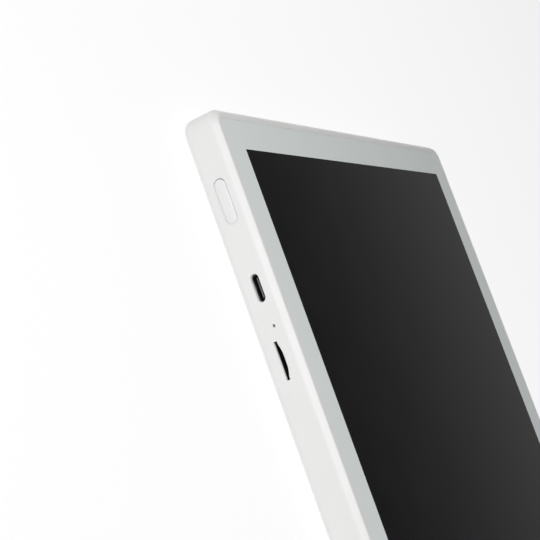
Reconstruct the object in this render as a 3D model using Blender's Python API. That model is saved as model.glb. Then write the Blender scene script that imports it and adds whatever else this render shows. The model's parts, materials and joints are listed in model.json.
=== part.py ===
"""An 11-inch e-reader as a Blender assembly, lying on its back with the screen up.

Frame: metres, +X to the right across the screen, +Y to the top of the page, +Z out of the screen.
The origin is the centre of the back face. The left edge (-X) holds the power button, the USB-C
socket, the microphone's pinhole and the memory-card slot. The whole display module, with the board
and battery behind it, drops into the housing from the front and snaps under the housing's lip.
Run with: blender --background --python part.py
"""

import math

import bmesh
import bpy
from mathutils import Vector

MM = 0.001

# ---- Driving dimensions -------------------------------------------------------------------------
WIDTH, HEIGHT, THICK = 194 * MM, 250 * MM, 12 * MM
CORNER_R = 5.8 * MM  # plan corner
FRONT_BEVEL, FRONT_R = 2.3 * MM, 1.2 * MM  # reach of the front edge's bevel, and rounding at its ends
BACK_R = 2.4 * MM  # rounding of the back edge
WALL, BACK_WALL = 1.7 * MM, 1.5 * MM
PORT_WALL, SLOT_WALL = 1.25 * MM, 0.9 * MM  # left of the wall in front of the USB and card sockets
BORDER_X, BORDER_Y = 13.35 * MM, 13.1 * MM  # side of the body to the edge of the picture
RIM = 3.3 * MM  # width of the housing's rim round the lens
GAP = 0.15 * MM  # clearance between pieces that rest on each other

# Heights of the display stack, as (bottom, top), from the back face.
LENS_Z = (11.20 * MM, 11.95 * MM)
MASK_Z = (10.95 * MM, 11.08 * MM)
TOUCH_Z = (10.60 * MM, 10.80 * MM)
GUIDE_Z = (10.05 * MM, 10.45 * MM)
PANEL_Z = (9.20 * MM, 9.90 * MM)
FLOOR_Z = (8.30 * MM, 9.05 * MM)  # chassis floor

# Insets of the stack's outlines from the body's sides.
LENS_INSET = RIM + GAP
CHASSIS_INSET = LENS_INSET + 0.3 * MM
TRAY_INSET = CHASSIS_INSET + 3.5 * MM  # inside of the chassis wall
GUIDE_INSET = TRAY_INSET + 1.1 * MM
PANEL_INSET = 11.25 * MM
ADHESIVE_WIDTH = 3.0 * MM
FLEX_Y = (2 * MM, 24 * MM)  # the panel's tail

# Circuit board.
BOARD_X = (-93.4 * MM, -46.0 * MM)
BOARD_Y = (-8.0 * MM, 112.0 * MM)
BOARD_Z = (3.6 * MM, 4.6 * MM)
PART_Z = BOARD_Z[1] + GAP  # where parts stand on the board

# Left edge, as distances from the top of the body and from its back face.
SIDE = -WIDTH / 2
BUTTON_Y, BUTTON_Z = HEIGHT / 2 - 28.1 * MM, 6.1 * MM
USB_Y, USB_Z = HEIGHT / 2 - 55.6 * MM, 6.4 * MM
MIC_Y, MIC_Z = HEIGHT / 2 - 67.6 * MM, 7.1 * MM
CARD_Y, CARD_Z = HEIGHT / 2 - 77.9 * MM, 5.73 * MM

BUTTON_HOLE = (14.4 * MM, 4.1 * MM)  # length along Y, height along Z
BUTTON_CAP = (14.0 * MM, 3.7 * MM)
BUTTON_PROUD, BUTTON_TRAVEL = 0.4 * MM, 0.35 * MM
USB_HOLE = (8.68 * MM, 2.76 * MM)
USB_SHELL, USB_SHELL_WALL, USB_LENGTH = (8.94 * MM, 3.16 * MM), 0.3 * MM, 7.2 * MM
MIC_R, MIC_SIDES = 0.5 * MM, 16
CARD_SLOT = (11.8 * MM, 1.2 * MM)
CARD_SCOOP_CHORD, CARD_SCOOP_RISE = 9.9 * MM, 0.74 * MM
CARD_SOCKET = (14.4 * MM, 14.0 * MM, 1.9 * MM)  # depth along X, width along Y, height
USB_MOUTH, CARD_MOUTH = SIDE + PORT_WALL + GAP, SIDE + SLOT_WALL + GAP
POCKET_CLEARANCE = 0.3 * MM  # round each socket where it reaches into the wall

SCREWS_XY = [(x * MM, y * MM) for x, y in
             ((-89, 106), (-50, 108), (-50, 52), (-50, -4), (-89, -4), (-89, 33))]

# Battery, as (low, high) spans.
CELL_X, CELL_Y, CELL_Z = (-38 * MM, 72 * MM), (-96 * MM, 64 * MM), (2.4 * MM, 7.0 * MM)

THROUGH = 1 * MM  # how far a cutter reaches past what it cuts
CORNER_STEPS = 8
EDGE_STEPS = 6

# ---- Colours: (base colour, roughness, metallic) -------------------------------------------------
FINISHES = {
    "white_plastic": ((0.86, 0.86, 0.85), 0.45, 0.0),
    "pale_film": ((0.60, 0.63, 0.62), 0.4, 0.0),
    "lens": ((0.75, 0.78, 0.80), 0.25, 0.0),
    "screen": ((0.015, 0.015, 0.018), 0.3, 0.0),
    "clear_plastic": ((0.80, 0.85, 0.88), 0.15, 0.0),
    "magnesium": ((0.42, 0.43, 0.45), 0.5, 1.0),
    "steel": ((0.60, 0.60, 0.61), 0.3, 1.0),
    "black_plastic": ((0.02, 0.02, 0.022), 0.5, 0.0),
    "board_green": ((0.02, 0.16, 0.09), 0.5, 0.0),
    "flex_amber": ((0.48, 0.22, 0.04), 0.4, 0.0),
    "battery_foil": ((0.10, 0.10, 0.11), 0.45, 0.0),
    "tape": ((0.05, 0.05, 0.05), 0.8, 0.0),
    "chip": ((0.03, 0.03, 0.035), 0.4, 0.0),
}


def finish(obj, name):
    """Gives obj the named finish, as its own Principled material."""
    colour, roughness, metallic = FINISHES[name]
    material = bpy.data.materials.get(name) or bpy.data.materials.new(name)
    material.use_nodes = True
    shader = material.node_tree.nodes["Principled BSDF"]
    shader.inputs["Base Color"].default_value = (*colour, 1)
    shader.inputs["Roughness"].default_value = roughness
    shader.inputs["Metallic"].default_value = metallic
    obj.data.materials.append(material)
    return obj


# ---- Shape tools ---------------------------------------------------------------------------------
def link(name, mesh_or_curve):
    obj = bpy.data.objects.new(name, mesh_or_curve)
    bpy.context.scene.collection.objects.link(obj)
    return obj


def solid(name, bm, colour=None, smooth=40):
    """Makes the bmesh an object with outward faces, smooth where faces meet under that angle."""
    bmesh.ops.recalc_face_normals(bm, faces=bm.faces)
    mesh = bpy.data.meshes.new(name)
    bm.to_mesh(mesh)
    bm.free()
    mesh.shade_smooth()
    mesh.set_sharp_from_angle(angle=math.radians(smooth))
    obj = link(name, mesh)
    return finish(obj, colour) if colour else obj


def loft(name, rings, colour=None, closed=False):
    """Joins rings of equally many points. The ends are capped, or joined to each other if closed."""
    bm = bmesh.new()
    rows = [[bm.verts.new(p) for p in ring] for ring in rings]
    count = len(rows[0])
    pairs = list(zip(rows, rows[1:]))
    if closed:
        pairs.append((rows[-1], rows[0]))
    for a, b in pairs:
        for i in range(count):
            j = (i + 1) % count
            bm.faces.new((a[i], a[j], b[j], b[i]))
    if not closed:
        bm.faces.new(rows[0][::-1])
        bm.faces.new(rows[-1])
    return solid(name, bm, colour)


def rounded_rectangle(half_x, half_y, radius, steps=CORNER_STEPS):
    """Points of a rounded rectangle about the origin, anticlockwise."""
    radius = max(radius, 0.05 * MM)
    points = []
    for quarter, (sx, sy) in enumerate(((1, 1), (-1, 1), (-1, -1), (1, -1))):
        for k in range(steps + 1):
            angle = (quarter + k / steps) * math.pi / 2
            points.append((sx * (half_x - radius) + radius * math.cos(angle),
                           sy * (half_y - radius) + radius * math.sin(angle)))
    return points


def body_ring(inset, z):
    """The body's plan outline, moved in by inset, at height z."""
    outline = rounded_rectangle(WIDTH / 2 - inset, HEIGHT / 2 - inset, CORNER_R - inset)
    return [(x, y, z) for x, y in outline]


def plate(name, inset, z_range, colour):
    """A sheet that follows the body's outline."""
    return loft(name, [body_ring(inset, z) for z in z_range], colour)


def frame_plate(name, outer, inner, z_range, colour):
    """A flat ring between two insets."""
    low, high = z_range
    profile = ((outer, low), (outer, high), (inner, high), (inner, low))
    return loft(name, [body_ring(inset, z) for inset, z in profile], colour, closed=True)


def box(name, x, y, z, colour=None, edge=0.0):
    """A block between the given (low, high) pairs, its upright edges rounded by edge."""
    half_x, half_y = (x[1] - x[0]) / 2, (y[1] - y[0]) / 2
    cx, cy = (x[0] + x[1]) / 2, (y[0] + y[1]) / 2
    if edge:
        outline = rounded_rectangle(half_x, half_y, edge, 3)
    else:
        outline = [(half_x, half_y), (-half_x, half_y), (-half_x, -half_y), (half_x, -half_y)]
    return loft(name, [[(cx + px, cy + py, level) for px, py in outline] for level in z], colour)


def block(name, centre_xy, size, z_low, colour, edge=0.2 * MM):
    """A part standing on a surface at z_low."""
    (cx, cy), (sx, sy, sz) = centre_xy, size
    spans = (cx - sx / 2, cx + sx / 2), (cy - sy / 2, cy + sy / 2), (z_low, z_low + sz)
    return box(name, *spans, colour, edge)


def circle(radius, sides):
    """Points of a circle about the origin."""
    turns = [2 * math.pi * k / sides for k in range(sides)]
    return [(radius * math.cos(t), radius * math.sin(t)) for t in turns]


def cylinder(name, centre_xy, radius, z_range, colour=None, sides=24):
    cx, cy = centre_xy
    rings = [[(cx + x, cy + y, z) for x, y in circle(radius, sides)] for z in z_range]
    return loft(name, rings, colour)


def pill(length, height, steps=8):
    """Outline (y, z) of a slot with round ends, length along Y."""
    return rounded_rectangle(length / 2, height / 2, height / 2 - 0.01 * MM, steps)


def along_x(name, sections, cy, cz, colour=None):
    """Lofts sections, each (x, outline of (y, z)), about the line through (cy, cz)."""
    rings = [[(x, cy + py, cz + pz) for py, pz in outline] for x, outline in sections]
    return loft(name, rings, colour)


def through_x(name, outline, cy, cz, x_range, colour=None):
    """One outline (y, z) carried along X."""
    return along_x(name, [(x, outline) for x in x_range], cy, cz, colour)


def helper(obj):
    obj.hide_render = True
    obj.display_type = "WIRE"
    return obj


def boolean(target, other, operation):
    modifier = target.modifiers.new(f"{operation.lower()}_{other.name}", "BOOLEAN")
    modifier.operation = operation
    modifier.object = helper(other)
    return target


def cut(target, cutter):
    return boolean(target, cutter, "DIFFERENCE")


def join(target, other):
    return boolean(target, other, "UNION")


def arc(centre_inset, centre_z, radius, start, end, steps):
    """(inset, z) points of an edge rounding, angles in degrees from outward (0) to up (90)."""
    points = []
    for k in range(steps + 1):
        angle = math.radians(start + (end - start) * k / steps)
        points.append((centre_inset - radius * math.cos(angle), centre_z + radius * math.sin(angle)))
    return points


# ---- Housing -------------------------------------------------------------------------------------
def card_slot_outline():
    """(y, z) of the card slot: a thin rectangle with a shallow finger scoop towards the screen."""
    half_y, half_z = CARD_SLOT[0] / 2, CARD_SLOT[1] / 2
    half_chord = CARD_SCOOP_CHORD / 2
    radius = (half_chord**2 + CARD_SCOOP_RISE**2) / (2 * CARD_SCOOP_RISE)
    sweep = math.asin(half_chord / radius)
    points = [(-half_y, half_z), (-half_y, -half_z), (half_y, -half_z), (half_y, half_z)]
    steps = 12
    for k in range(steps + 1):
        angle = sweep * (1 - 2 * k / steps)
        dip = radius * (1 - math.cos(angle))
        points.append((radius * math.sin(angle), half_z + CARD_SCOOP_RISE - dip))
    return points


def housing():
    """The white one-piece body: back, sides and the rim round the lens."""
    lip_low, lip_high = 9.2 * MM, 9.9 * MM
    profile = arc(BACK_R, BACK_R, BACK_R, -90, 0, EDGE_STEPS)
    # The front edge is a 45 degree bevel that turns softly into the side and into the rim.
    side_arc_z = THICK - FRONT_BEVEL
    profile += arc(FRONT_R, side_arc_z, FRONT_R, 0, 45, EDGE_STEPS // 2)
    profile += arc(FRONT_BEVEL, THICK - FRONT_R, FRONT_R, 45, 90, EDGE_STEPS // 2)
    profile += [(RIM, THICK), (RIM, lip_high), (WALL, lip_low), (WALL, BACK_WALL)]
    body = loft("rear_housing", [body_ring(inset, z) for inset, z in profile], "white_plastic")
    wall_x = (SIDE - THROUGH, SIDE + WALL + THROUGH)
    cut(body, through_x("button_cutter", pill(*BUTTON_HOLE), BUTTON_Y, BUTTON_Z, wall_x))
    cut(body, through_x("usb_cutter", pill(*USB_HOLE), USB_Y, USB_Z, wall_x))
    cut(body, through_x("mic_cutter", circle(MIC_R, MIC_SIDES), MIC_Y, MIC_Z, wall_x))
    cut(body, through_x("card_cutter", card_slot_outline(), CARD_Y, CARD_Z, wall_x))
    pocket_x, usb_pocket = (SIDE + PORT_WALL, wall_x[1]), [size + 2 * POCKET_CLEARANCE for size in USB_SHELL]
    cut(body, through_x("usb_pocket_cutter", pill(*usb_pocket), USB_Y, USB_Z, pocket_x))
    half_y = CARD_SOCKET[1] / 2 + POCKET_CLEARANCE
    pocket_x, pocket_y = (SIDE + SLOT_WALL, wall_x[1]), (CARD_Y - half_y, CARD_Y + half_y)
    pocket_z = (PART_Z - POCKET_CLEARANCE, PART_Z + CARD_SOCKET[2] + POCKET_CLEARANCE)
    cut(body, box("card_pocket_cutter", pocket_x, pocket_y, pocket_z))
    rib_z = (BACK_WALL - 0.5 * MM, 2.0 * MM)
    rib_half = 0.4 * MM
    reach_x, reach_y = WIDTH / 2 - 6 * MM, HEIGHT / 2 - 8 * MM
    for k, x in enumerate((-60 * MM, 0, 60 * MM)):
        join(body, box(f"rib_long_{k}", (x - rib_half, x + rib_half), (-reach_y, reach_y), rib_z))
    for k, y in enumerate((-80 * MM, -27 * MM, 27 * MM, 80 * MM)):
        join(body, box(f"rib_cross_{k}", (-reach_x, reach_x), (y - rib_half, y + rib_half), rib_z))


# ---- Display stack -------------------------------------------------------------------------------
def display():
    """The stack from the lens down to the e-paper panel, with the panel's tail and the front light."""
    ease = 0.15 * MM
    lens_profile = ((LENS_INSET, LENS_Z[0]), (LENS_INSET, LENS_Z[1] - ease), (LENS_INSET + ease, LENS_Z[1]))
    loft("cover_lens", [body_ring(inset, z) for inset, z in lens_profile], "lens")
    mask_half_x, mask_half_y = WIDTH / 2 - CHASSIS_INSET, HEIGHT / 2 - CHASSIS_INSET
    mask_outer = rounded_rectangle(mask_half_x, mask_half_y, CORNER_R - CHASSIS_INSET)
    window = rounded_rectangle(WIDTH / 2 - BORDER_X, HEIGHT / 2 - BORDER_Y, 0.5 * MM)
    low, high = MASK_Z
    sections = ((mask_outer, low), (mask_outer, high), (window, high), (window, low))
    rings = [[(x, y, z) for x, y in outline] for outline, z in sections]
    loft("mask_film", rings, "pale_film", closed=True)
    frame_plate("lens_adhesive", CHASSIS_INSET, CHASSIS_INSET + ADHESIVE_WIDTH, TOUCH_Z, "tape")
    plate("touch_sensor", TRAY_INSET + GAP, TOUCH_Z, "clear_plastic")
    plate("light_guide", GUIDE_INSET, GUIDE_Z, "clear_plastic")
    plate("epaper_panel", PANEL_INSET, PANEL_Z, "screen")
    led_strip()
    panel_flex()


def led_strip():
    """A bar of light-emitting diodes along the light guide's bottom edge."""
    back_y, front_y = -HEIGHT / 2 + TRAY_INSET + GAP, -HEIGHT / 2 + GUIDE_INSET - GAP
    tooth_y = back_y + 0.4 * MM
    count, pitch, half, overhang = 12, 13 * MM, 1.4 * MM, 4 * MM
    first = -pitch * (count - 1) / 2
    end = -first + overhang
    outline = [(end, back_y), (-end, back_y), (-end, tooth_y)]
    for k in range(count):
        x = first + k * pitch
        outline += [(x - half, tooth_y), (x - half, front_y), (x + half, front_y), (x + half, tooth_y)]
    outline.append((end, tooth_y))
    loft("led_strip", [[(x, y, z) for x, y in outline] for z in GUIDE_Z], "pale_film")


def panel_flex():
    """The panel's tail: out past its left edge, down through the chassis and onto the board."""
    thick, turn_r, turn_steps = 0.2 * MM, 0.8 * MM, 4
    start_x, out_x, end_x = SIDE + PANEL_INSET - GAP, -88.0 * MM, -80.0 * MM
    top_z, low_z = PANEL_Z[0] + 0.35 * MM, PART_Z + 1.35 * MM
    path = [(start_x, top_z)]
    for centre_z, start in ((top_z - turn_r, 90), (low_z + turn_r, 180)):
        for k in range(turn_steps + 1):
            angle = math.radians(start + 90 * k / turn_steps)
            path.append((out_x + turn_r * (1 + math.cos(angle)), centre_z + turn_r * math.sin(angle)))
    path.append((end_x, low_z))
    corners = ((FLEX_Y[0], -1), (FLEX_Y[1], -1), (FLEX_Y[1], 1), (FLEX_Y[0], 1))
    sections = []
    for k, (x, z) in enumerate(path):
        before, after = path[max(k - 1, 0)], path[min(k + 1, len(path) - 1)]
        along = Vector((after[0] - before[0], 0, after[1] - before[1])).normalized()
        across = Vector((-along.z, 0, along.x)) * thick / 2
        sections.append([Vector((x, y, z)) + side * across for y, side in corners])
    loft("panel_flex", sections, "flex_amber")
    socket = (4 * MM, 24 * MM, 1.0 * MM)
    block("panel_socket", (end_x - 1 * MM, sum(FLEX_Y) / 2), socket, PART_Z, "black_plastic")


# ---- Chassis -------------------------------------------------------------------------------------
def chassis():
    """The magnesium tray between the display and the circuit board."""
    wall_top = TOUCH_Z[0] - GAP
    floor_low, floor_high = FLOOR_Z
    profile = ((CHASSIS_INSET, floor_low), (CHASSIS_INSET, wall_top), (TRAY_INSET, wall_top),
               (TRAY_INSET, floor_high))
    tray = loft("chassis", [body_ring(inset, z) for inset, z in profile], "magnesium")
    slot_x, slot_y = (-89.4 * MM, -86.6 * MM), (FLEX_Y[0] - 1 * MM, FLEX_Y[1] + 1 * MM)
    cut(tray, box("flex_slot_cutter", slot_x, slot_y, (floor_low - THROUGH, floor_high + THROUGH)))
    # Hooks round the tray catch under the housing's lip.
    hook_z = (floor_low + 0.05 * MM, floor_low + 0.65 * MM)
    inside, outside, half = RIM + 1.5 * MM, RIM - 0.4 * MM, 4 * MM
    for side in (-1, 1):
        spans_x = sorted((side * (WIDTH / 2 - inside), side * (WIDTH / 2 - outside)))
        for k, y in enumerate((-90 * MM, -30 * MM, 30 * MM, 90 * MM)):
            join(tray, box(f"hook_x_{side}_{k}", spans_x, (y - half, y + half), hook_z))
        spans_y = sorted((side * (HEIGHT / 2 - inside), side * (HEIGHT / 2 - outside)))
        for k, x in enumerate((-60 * MM, 0, 60 * MM)):
            join(tray, box(f"hook_y_{side}_{k}", (x - half, x + half), spans_y, hook_z))
    boss_z = (PART_Z, floor_low + 0.3 * MM)
    bore_z = (PART_Z - THROUGH, floor_low - 0.2 * MM)
    for k, place in enumerate(SCREWS_XY):
        join(tray, cylinder(f"boss_{k}", place, 2.0 * MM, boss_z))
    for k, place in enumerate(SCREWS_XY):
        cut(tray, cylinder(f"boss_bore_{k}", place, 0.95 * MM, bore_z))


def screw(name, place):
    """A pan-head screw driven from behind the board, with a cross recess."""
    head_r, head_h, shank_r, shank_h = 1.5 * MM, 0.7 * MM, 0.8 * MM, 4.0 * MM
    top = BOARD_Z[0] - GAP
    profile = ((head_r * 0.8, top - head_h), (head_r, top - head_h * 0.6), (head_r, top), (shank_r, top),
               (shank_r, top + shank_h - 0.3 * MM), (shank_r * 0.6, top + shank_h))
    rings = [[(place[0] + x, place[1] + y, z) for x, y in circle(radius, 20)] for radius, z in profile]
    body = loft(name, rings, "steel")
    arm, half = 0.8 * MM, 0.14 * MM
    depth = (top - head_h - 0.5 * MM, top - head_h + 0.35 * MM)
    for k, (rx, ry) in enumerate(((arm, half), (half, arm))):
        spans = (place[0] - rx, place[0] + rx), (place[1] - ry, place[1] + ry)
        cut(body, box(f"{name}_recess_{k}", *spans, depth))


# ---- Circuit board -------------------------------------------------------------------------------
def board():
    """The circuit board with its screws, shields, chips and sockets."""
    base = box("main_board", BOARD_X, BOARD_Y, BOARD_Z, "board_green", edge=1 * MM)
    through = (BOARD_Z[0] - THROUGH, BOARD_Z[1] + THROUGH)
    for k, place in enumerate(SCREWS_XY):
        cut(base, cylinder(f"board_hole_{k}", place, 1.0 * MM, through))
        screw(f"board_screw_{k + 1}", place)
    can("processor_shield", (-64 * MM, 84 * MM), (27 * MM, 30 * MM, 2.3 * MM))
    can("radio_shield", (-62 * MM, 33 * MM), (16 * MM, 14 * MM, 1.9 * MM))
    pad_z = (PART_Z + 2.3 * MM + GAP, FLOOR_Z[0] - GAP)
    box("thermal_pad", (-74 * MM, -54 * MM), (73 * MM, 95 * MM), pad_z, "pale_film")
    block("processor", (-67 * MM, 90 * MM), (14 * MM, 14 * MM, 1.2 * MM), PART_Z, "chip")
    block("memory_chip", (-62 * MM, 76 * MM), (13 * MM, 11 * MM, 1.0 * MM), PART_Z, "chip")
    block("radio_chip", (-62 * MM, 33 * MM), (8 * MM, 8 * MM, 0.9 * MM), PART_Z, "chip")
    block("power_chip", (-62 * MM, 56 * MM), (6 * MM, 6 * MM, 0.9 * MM), PART_Z, "chip")
    block("power_coil", (-70 * MM, 60 * MM), (5 * MM, 5 * MM, 2.0 * MM), PART_Z, "chip", edge=1 * MM)
    block("battery_socket", (-52 * MM, 15 * MM), (5 * MM, 8 * MM, 1.6 * MM), PART_Z, "black_plastic")


def can(name, centre_xy, size):
    """A stamped shield: a lid with four walls, open towards the board."""
    sheet = 0.25 * MM
    shell = block(name, centre_xy, size, PART_Z, "steel", edge=0.6 * MM)
    (cx, cy), (sx, sy, sz) = centre_xy, size
    half_x, half_y = sx / 2 - sheet, sy / 2 - sheet
    spans = (cx - half_x, cx + half_x), (cy - half_y, cy + half_y), (PART_Z - THROUGH, PART_Z + sz - sheet)
    return cut(shell, box(f"{name}_inside", *spans))


def usb_socket():
    """A USB-C receptacle: a rounded steel shell and the tongue that carries the contacts."""
    back_x = USB_MOUTH + USB_LENGTH
    shell = through_x("usb_shell", pill(*USB_SHELL), USB_Y, USB_Z, (USB_MOUTH, back_x), "steel")
    inside = [size - 2 * USB_SHELL_WALL for size in USB_SHELL]
    inside_x = (USB_MOUTH - THROUGH, back_x - 0.6 * MM)
    cut(shell, through_x("usb_inside", pill(*inside), USB_Y, USB_Z, inside_x))
    tongue, tip = pill(6.7 * MM, 0.7 * MM), pill(6.4 * MM, 0.5 * MM)
    base = pill(7.6 * MM, 1.9 * MM)
    tip_x, step_x = USB_MOUTH + 0.4 * MM, USB_MOUTH + 4.9 * MM
    sections = [(tip_x, tip), (tip_x + 0.1 * MM, tongue), (step_x, tongue),
                (step_x + 0.1 * MM, base), (back_x - 0.8 * MM, base)]
    along_x("usb_tongue", sections, USB_Y, USB_Z, "black_plastic")


def card_socket():
    """A push-push microSD socket: stamped cover, moulded base and the slider that a card pushes."""
    depth, width, height = CARD_SOCKET
    sheet, base_top = 0.2 * MM, PART_Z + 0.35 * MM
    x, y = (CARD_MOUTH, CARD_MOUTH + depth), (CARD_Y - width / 2, CARD_Y + width / 2)
    cover = box("card_socket_cover", x, y, (base_top + GAP, PART_Z + height), "steel")
    cut(cover, box("card_cover_inside", (x[0] - THROUGH, x[1] - sheet), (y[0] + sheet, y[1] - sheet),
                   (PART_Z - THROUGH, PART_Z + height - sheet)))
    box("card_socket_base", x, y, (PART_Z, base_top), "black_plastic")
    slider_y = (y[1] - sheet - GAP - 1.2 * MM, y[1] - sheet - GAP)
    slider_x = (CARD_MOUTH + 3.5 * MM, CARD_MOUTH + 8.5 * MM)  # it travels 3 mm inwards
    slider_z = (base_top + GAP, PART_Z + height - sheet - GAP)
    slider = box("card_slider", slider_x, slider_y, slider_z, "black_plastic")
    stop_x = (slider_x[1] - 1 * MM, slider_x[1])
    join(slider, box("slider_stop", stop_x, (slider_y[0] - 2.5 * MM, slider_y[0] + 0.3 * MM), slider_z))
    spring_x = (slider_x[1] + GAP, x[1] - sheet - GAP)
    coil("card_spring", spring_x, sum(slider_y) / 2, sum(slider_z) / 2, 0.40 * MM, 0.08 * MM, 9)


def coil(name, x_range, y, z, coil_r, wire_r, turns):
    """A compression spring along X."""
    per_turn = 10
    start, length = x_range[0] + wire_r, x_range[1] - x_range[0] - 2 * wire_r
    route = []
    for k in range(turns * per_turn + 1):
        angle, x = 2 * math.pi * k / per_turn, start + length * k / (turns * per_turn)
        route.append(Vector((x, y + coil_r * math.cos(angle), z + coil_r * math.sin(angle))))
    tube(name, route, wire_r, "steel", per_span=1, resolution=1)


def microphone():
    """A capsule on the board, and the rubber boot that leads to it from the pinhole."""
    wall_x, boot_length, capsule_depth = SIDE + WALL + 0.2 * MM, 2.6 * MM, 1.2 * MM
    half_y, top = 1.9 * MM, 8.0 * MM
    boot_x = (wall_x, wall_x + boot_length)
    # The boot hangs over the board's edge, so its underside stays above the board.
    boot = box("mic_boot", boot_x, (MIC_Y - half_y, MIC_Y + half_y), (PART_Z, top), "black_plastic")
    bore_x = (boot_x[0] - THROUGH, boot_x[1] + THROUGH)
    cut(boot, through_x("mic_boot_bore", circle(0.6 * MM, MIC_SIDES), MIC_Y, MIC_Z, bore_x))
    capsule_x = (boot_x[1] + GAP, boot_x[1] + GAP + capsule_depth)
    capsule = box("microphone", capsule_x, (MIC_Y - half_y, MIC_Y + half_y), (PART_Z, top), "steel")
    port_x = (capsule_x[0] - THROUGH, capsule_x[0] + 0.4 * MM)
    cut(capsule, through_x("mic_port", circle(0.35 * MM, MIC_SIDES), MIC_Y, MIC_Z, port_x))


def power_button():
    """The power button and the side-push switch behind it. The button moves BUTTON_TRAVEL along X."""
    face_x, inner_x = SIDE - BUTTON_PROUD, SIDE + WALL + 0.2 * MM
    length, height = BUTTON_CAP
    round_r, steps = 0.45 * MM, 4
    sections = []
    for k in range(steps + 1):
        angle = math.pi / 2 * k / steps
        inset = round_r * (1 - math.sin(angle))
        outline = pill(length - 2 * inset, height - 2 * inset)
        sections.append((face_x + round_r * (1 - math.cos(angle)), outline))
    sections.append((inner_x + 0.5 * MM, pill(length, height)))
    cap = along_x("power_button", sections, BUTTON_Y, BUTTON_Z, "white_plastic")
    wing = rounded_rectangle(length / 2 + 1.4 * MM, height / 2 - 0.3 * MM, 0.3 * MM, 2)
    join(cap, through_x("button_wings", wing, BUTTON_Y, BUTTON_Z, (inner_x, inner_x + 0.6 * MM)))
    post = rounded_rectangle(1.4 * MM, 0.9 * MM, 0.2 * MM, 2)
    post_x = (inner_x + 0.3 * MM, inner_x + 1.2 * MM)
    join(cap, through_x("button_post", post, BUTTON_Y, BUTTON_Z, post_x))
    power_switch(post_x[1] + 0.05 * MM)


def power_switch(tip_x):
    """A side-push switch on the board's edge, and its plunger, which slides into it along X."""
    body_x, depth, width, top = tip_x + BUTTON_TRAVEL + 0.4 * MM, 3.2 * MM, 6.0 * MM, 7.7 * MM
    spans = (body_x, body_x + depth), (BUTTON_Y - width / 2, BUTTON_Y + width / 2), (PART_Z, top)
    body = box("power_switch", *spans, "black_plastic")
    plunger = rounded_rectangle(1.1 * MM, 0.6 * MM, 0.15 * MM, 2)
    pocket = rounded_rectangle(1.25 * MM, 0.75 * MM, 0.15 * MM, 2)
    pocket_x = (body_x - THROUGH, body_x + 1.4 * MM)
    cut(body, through_x("switch_pocket", pocket, BUTTON_Y, BUTTON_Z, pocket_x))
    through_x("switch_plunger", plunger, BUTTON_Y, BUTTON_Z, (tip_x, body_x + 0.9 * MM), "pale_film")


# ---- Battery and antenna -------------------------------------------------------------------------
def battery():
    """The pouch cell with its tape, guard board and lead."""
    edge, cap_step = 3 * MM, 0.8 * MM
    half_x, half_y = (CELL_X[1] - CELL_X[0]) / 2, (CELL_Y[1] - CELL_Y[0]) / 2
    centre_x, centre_y = sum(CELL_X) / 2, sum(CELL_Y) / 2
    low, high = CELL_Z
    rings = []
    for inset, z in ((cap_step, low), (0, low + cap_step), (0, high - cap_step), (cap_step, high)):
        outline = rounded_rectangle(half_x - inset, half_y - inset, edge, 4)
        rings.append([(centre_x + px, centre_y + py, z) for px, py in outline])
    loft("battery_cell", rings, "battery_foil")
    tape_x, tape_y = (CELL_X[0] + 8 * MM, CELL_X[1] - 8 * MM), (CELL_Y[0] + 10 * MM, CELL_Y[1] - 10 * MM)
    box("battery_tape", tape_x, tape_y, (high + GAP, FLOOR_Z[0] - GAP), "tape", edge=2 * MM)
    guard_x = (CELL_X[0] + 4 * MM, CELL_X[0] + 44 * MM)
    guard_y = (CELL_Y[1] + 0.6 * MM, CELL_Y[1] + 4.6 * MM)
    box("battery_guard_board", guard_x, guard_y, (4.2 * MM, 5.0 * MM), "board_green")
    route = [(-34.5, 66.8, 5.7), (-45.5, 60.0, 5.7), (-47.0, 35.0, 5.7), (-46.0, 20.5, 5.7),
             (-49.0, 15.5, 5.7)]
    tube("battery_lead", [Vector(p) * MM for p in route], 0.55 * MM, "black_plastic")


def smooth_points(points, per_span):
    """Catmull-Rom points through the given ones, so that a lead bends evenly."""
    ends = [2 * points[0] - points[1], *points, 2 * points[-1] - points[-2]]
    found = []
    for a, b, c, d in zip(ends, ends[1:], ends[2:], ends[3:]):
        for k in range(per_span):
            t = k / per_span
            found.append(0.5 * (2 * b + (c - a) * t + (2 * a - 5 * b + 4 * c - d) * t**2
                                + (3 * b - a - 3 * c + d) * t**3))
    return [*found, points[-1]]


def tube(name, points, radius, colour, per_span=6, resolution=2):
    """A round lead or wire along the points."""
    curve = bpy.data.curves.new(name, "CURVE")
    curve.dimensions = "3D"
    curve.bevel_depth = radius
    curve.bevel_resolution = resolution
    curve.use_fill_caps = True
    spline = curve.splines.new("POLY")
    route = smooth_points(points, per_span)
    spline.points.add(len(route) - 1)
    for point, place in zip(spline.points, route):
        point.co = (*place, 1)
    return finish(link(name, curve), colour)


def antenna():
    """The flat antenna in the top of the housing, and its cable to the board."""
    film_z = (2.2 * MM, 2.45 * MM)
    box("wifi_antenna", (-30 * MM, 14 * MM), (108 * MM, 118 * MM), film_z, "flex_amber", edge=1 * MM)
    block("antenna_socket", (-48.2 * MM, 93 * MM), (3 * MM, 3 * MM, 1.2 * MM), PART_Z, "steel")
    route = [(-46.1, 93, 5.4), (-43, 94, 5.2), (-40, 100, 3.8), (-36, 108, 3.1), (-28, 113, 3.1)]
    tube("antenna_cable", [Vector(p) * MM for p in route], 0.45 * MM, "black_plastic")


def main():
    for obj in list(bpy.data.objects):
        bpy.data.objects.remove(obj)
    housing()
    display()
    chassis()
    board()
    usb_socket()
    card_socket()
    microphone()
    power_button()
    battery()
    antenna()


main()
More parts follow.
